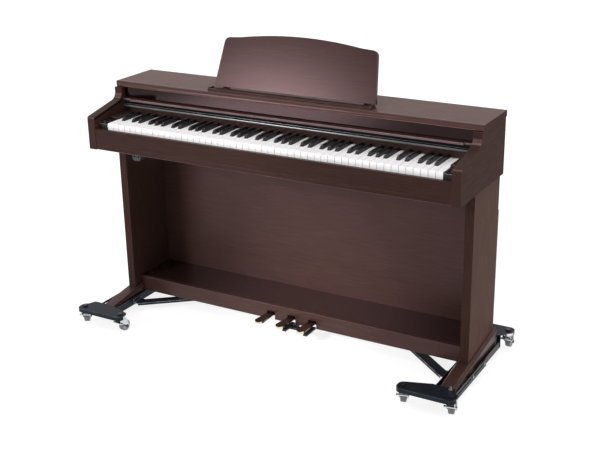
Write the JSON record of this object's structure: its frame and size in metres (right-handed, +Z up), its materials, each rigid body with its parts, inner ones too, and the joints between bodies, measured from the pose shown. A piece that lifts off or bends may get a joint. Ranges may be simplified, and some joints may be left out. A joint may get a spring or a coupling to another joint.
{
  "type": "digital piano on stand",
  "caption": "Upright digital piano in dark rosewood with a sliding key cover, music rest and pedals, standing on a low steel trolley with castors.",
  "frame": {"origin": "on the floor under the castors, in the middle of the object's box", "axes": "+X to the player's right along the keyboard, +Y from the player to the back, +Z up"},
  "size_m": [1.4459, 0.5694, 1.022],
  "materials": {
    "cabinet_wood": "dark rosewood laminate with a satin lacquer",
    "trim_wood": "the same laminate, glossier, on the edges and trim",
    "black_gloss": "glossy black panel plastic",
    "black_plastic": "fine matt grain",
    "board_green": "green circuit board",
    "key_white": "smooth ivory-white key plastic",
    "key_black": "satin black key plastic",
    "black_steel": "black powder coat on sheet steel",
    "chrome": "bright zinc and chrome plate",
    "brass": "polished brass plate",
    "wheel_grey": "grey non-marking tread on a plastic wheel"
  },
  "bodies": {
    "piano": {"side_panel_left": "cabinet_wood", "side_panel_right": "cabinet_wood", "top_board": "cabinet_wood", "top_moulding": "trim_wood", "fascia_board": "cabinet_wood", "panel_strip": "black_gloss", "key_rail": "trim_wood", "key_slip": "cabinet_wood", "key_bed": "cabinet_wood", "cabinet_back": "cabinet_wood", "key_blocks": "black_gloss", "headphone_box": "black_plastic", "power_inlet": "black_plastic", "circuit_boards": "board_green", "speakers": "black_plastic", "rest_ledge": "trim_wood", "rest_hinges": "black_plastic", "key_frame": "black_steel", "white_keys": "key_white", "black_keys": "key_black", "legs": "cabinet_wood", "feet": "cabinet_wood", "back_board": "cabinet_wood", "pedal_front_board": "cabinet_wood", "pedal_top_board": "cabinet_wood", "pedal_frame": "black_steel", "screws": "chrome", "front_tray_left": "black_steel", "front_tray_right": "black_steel", "trolley_links": "black_steel"},
    "key_cover": {"key_cover": "trim_wood"},
    "music_rest": {"music_rest": "cabinet_wood"},
    "rest_prop": {"rest_prop": "chrome"},
    "power_button": {"power_button": "chrome"},
    "volume_slider": {"volume_slider": "black_plastic"},
    "key_c": {"key_c": "key_white"},
    "key_c_sharp": {"key_c_sharp": "key_black"},
    "key_d": {"key_d": "key_white"},
    "key_d_sharp": {"key_d_sharp": "key_black"},
    "soft_pedal": {"soft_pedal": "brass"},
    "sostenuto_pedal": {"sostenuto_pedal": "brass"},
    "sustain_pedal": {"sustain_pedal": "brass"},
    "rear_tray_left": {"rear_tray_left": "black_steel"},
    "rear_tray_right": {"rear_tray_right": "black_steel"},
    "front_left_outer_fork": {"front_left_outer_fork": "chrome"},
    "front_left_outer_wheel": {"front_left_outer_wheel": "wheel_grey"},
    "front_left_inner_fork": {"front_left_inner_fork": "chrome"},
    "front_left_inner_wheel": {"front_left_inner_wheel": "wheel_grey"},
    "front_right_inner_fork": {"front_right_inner_fork": "chrome"},
    "front_right_inner_wheel": {"front_right_inner_wheel": "wheel_grey"},
    "front_right_outer_fork": {"front_right_outer_fork": "chrome"},
    "front_right_outer_wheel": {"front_right_outer_wheel": "wheel_grey"},
    "rear_left_outer_fork": {"rear_left_outer_fork": "chrome"},
    "rear_left_outer_wheel": {"rear_left_outer_wheel": "wheel_grey"},
    "rear_left_inner_fork": {"rear_left_inner_fork": "chrome"},
    "rear_left_inner_wheel": {"rear_left_inner_wheel": "wheel_grey"},
    "rear_right_inner_fork": {"rear_right_inner_fork": "chrome"},
    "rear_right_inner_wheel": {"rear_right_inner_wheel": "wheel_grey"},
    "rear_right_outer_fork": {"rear_right_outer_fork": "chrome"},
    "rear_right_outer_wheel": {"rear_right_outer_wheel": "wheel_grey"}
  },
  "joints": [
    {"name": "cover_slide", "type": "slide", "parent": "piano", "child": "key_cover", "axis": [0, -0.9792, -0.2028], "range_m": [0, 0.16]},
    {"name": "rest_tilt", "type": "hinge", "parent": "piano", "child": "music_rest", "pos_m": [0, 0.0545, 0.844], "axis": [-1, 0, 0], "range_deg": [0, 71.5]},
    {"name": "prop_fold", "type": "hinge", "parent": "music_rest", "child": "rest_prop", "pos_m": [0, 0.0783, 0.91512], "axis": [-1, 0, 0], "range_deg": [-141.5, 0]},
    {"name": "soft_pedal_press", "type": "hinge", "parent": "piano", "child": "soft_pedal", "pos_m": [0, 0.1255, 0.064], "axis": [1, 0, 0], "range_deg": [0, 4.5], "stiffness_Nm_per_rad": 30, "springref_deg": -8.59},
    {"name": "sostenuto_pedal_press", "type": "hinge", "parent": "piano", "child": "sostenuto_pedal", "pos_m": [0, 0.1255, 0.064], "axis": [1, 0, 0], "range_deg": [0, 4.5], "stiffness_Nm_per_rad": 30, "springref_deg": -8.59},
    {"name": "sustain_pedal_press", "type": "hinge", "parent": "piano", "child": "sustain_pedal", "pos_m": [0, 0.1255, 0.064], "axis": [1, 0, 0], "range_deg": [0, 4.5], "stiffness_Nm_per_rad": 30, "springref_deg": -8.59},
    {"name": "key_c_press", "type": "hinge", "parent": "piano", "child": "key_c", "pos_m": [0, 0.0725, 0.711], "axis": [1, 0, 0], "range_deg": [0, 2.4], "stiffness_Nm_per_rad": 2, "springref_deg": -8.02},
    {"name": "key_c_sharp_press", "type": "hinge", "parent": "piano", "child": "key_c_sharp", "pos_m": [0, 0.0725, 0.711], "axis": [1, 0, 0], "range_deg": [0, 2.4], "stiffness_Nm_per_rad": 2, "springref_deg": -8.02},
    {"name": "key_d_press", "type": "hinge", "parent": "piano", "child": "key_d", "pos_m": [0, 0.0725, 0.711], "axis": [1, 0, 0], "range_deg": [0, 2.4], "stiffness_Nm_per_rad": 2, "springref_deg": -8.02},
    {"name": "key_d_sharp_press", "type": "hinge", "parent": "piano", "child": "key_d_sharp", "pos_m": [0, 0.0725, 0.711], "axis": [1, 0, 0], "range_deg": [0, 2.4], "stiffness_Nm_per_rad": 2, "springref_deg": -8.02},
    {"name": "power_press", "type": "slide", "parent": "piano", "child": "power_button", "axis": [0, 0, -1], "range_m": [0, 0.002], "stiffness_N_per_m": 400, "springref_m": -0.001},
    {"name": "volume_slide", "type": "slide", "parent": "piano", "child": "volume_slider", "axis": [0, 1, 0], "range_m": [0, 0.022]},
    {"name": "tray_extend_left", "type": "slide", "parent": "piano", "child": "rear_tray_left", "axis": [0, 1, 0], "range_m": [0, 0.03]},
    {"name": "tray_extend_right", "type": "slide", "parent": "piano", "child": "rear_tray_right", "axis": [0, 1, 0], "range_m": [0, 0.03]},
    {"name": "front_left_outer_swivel", "type": "hinge", "parent": "piano", "child": "front_left_outer_fork", "pos_m": [-0.69825, -0.2575, 0.05], "axis": [0, 0, 1], "continuous": true},
    {"name": "front_left_inner_swivel", "type": "hinge", "parent": "piano", "child": "front_left_inner_fork", "pos_m": [-0.54225, -0.2575, 0.05], "axis": [0, 0, 1], "continuous": true},
    {"name": "front_right_inner_swivel", "type": "hinge", "parent": "piano", "child": "front_right_inner_fork", "pos_m": [0.54225, -0.2575, 0.05], "axis": [0, 0, 1], "continuous": true},
    {"name": "front_right_outer_swivel", "type": "hinge", "parent": "piano", "child": "front_right_outer_fork", "pos_m": [0.69825, -0.2575, 0.05], "axis": [0, 0, 1], "continuous": true},
    {"name": "rear_left_outer_swivel", "type": "hinge", "parent": "rear_tray_left", "child": "rear_left_outer_fork", "pos_m": [-0.69825, 0.2465, 0.05], "axis": [0, 0, 1], "continuous": true},
    {"name": "rear_left_inner_swivel", "type": "hinge", "parent": "rear_tray_left", "child": "rear_left_inner_fork", "pos_m": [-0.54225, 0.2465, 0.05], "axis": [0, 0, 1], "continuous": true},
    {"name": "rear_right_inner_swivel", "type": "hinge", "parent": "rear_tray_right", "child": "rear_right_inner_fork", "pos_m": [0.54225, 0.2465, 0.05], "axis": [0, 0, 1], "continuous": true},
    {"name": "rear_right_outer_swivel", "type": "hinge", "parent": "rear_tray_right", "child": "rear_right_outer_fork", "pos_m": [0.69825, 0.2465, 0.05], "axis": [0, 0, 1], "continuous": true},
    {"name": "front_left_outer_roll", "type": "hinge", "parent": "front_left_outer_fork", "child": "front_left_outer_wheel", "pos_m": [-0.70725, -0.24191, 0.02], "axis": [0.866, 0.5, 0], "continuous": true},
    {"name": "front_left_inner_roll", "type": "hinge", "parent": "front_left_inner_fork", "child": "front_left_inner_wheel", "pos_m": [-0.54099, -0.23954, 0.02], "axis": [0.9976, -0.0698, 0], "continuous": true},
    {"name": "front_right_inner_roll", "type": "hinge", "parent": "front_right_inner_fork", "child": "front_right_inner_wheel", "pos_m": [0.53699, -0.24029, 0.02], "axis": [0.9563, 0.2924, 0], "continuous": true},
    {"name": "front_right_outer_roll", "type": "hinge", "parent": "front_right_outer_fork", "child": "front_right_outer_wheel", "pos_m": [0.69451, -0.23989, 0.02], "axis": [0.9781, 0.2079, 0], "continuous": true},
    {"name": "rear_left_outer_roll", "type": "hinge", "parent": "rear_left_outer_fork", "child": "rear_left_outer_wheel", "pos_m": [-0.69825, 0.2645, 0.02], "axis": [1, 0, 0], "continuous": true},
    {"name": "rear_left_inner_roll", "type": "hinge", "parent": "rear_left_inner_fork", "child": "rear_left_inner_wheel", "pos_m": [-0.53464, 0.26281, 0.02], "axis": [0.9063, -0.4226, 0], "continuous": true},
    {"name": "rear_right_inner_roll", "type": "hinge", "parent": "rear_right_inner_fork", "child": "rear_right_inner_wheel", "pos_m": [0.5379, 0.26397, 0.02], "axis": [0.9703, 0.2419, 0], "continuous": true},
    {"name": "rear_right_outer_roll", "type": "hinge", "parent": "rear_right_outer_fork", "child": "rear_right_outer_wheel", "pos_m": [0.69825, 0.2645, 0.02], "axis": [1, 0, 0], "continuous": true}
  ],
  "couplings": [
    {"joint": "prop_fold", "follows": "rest_tilt", "ratio": -1.979}
  ]
}
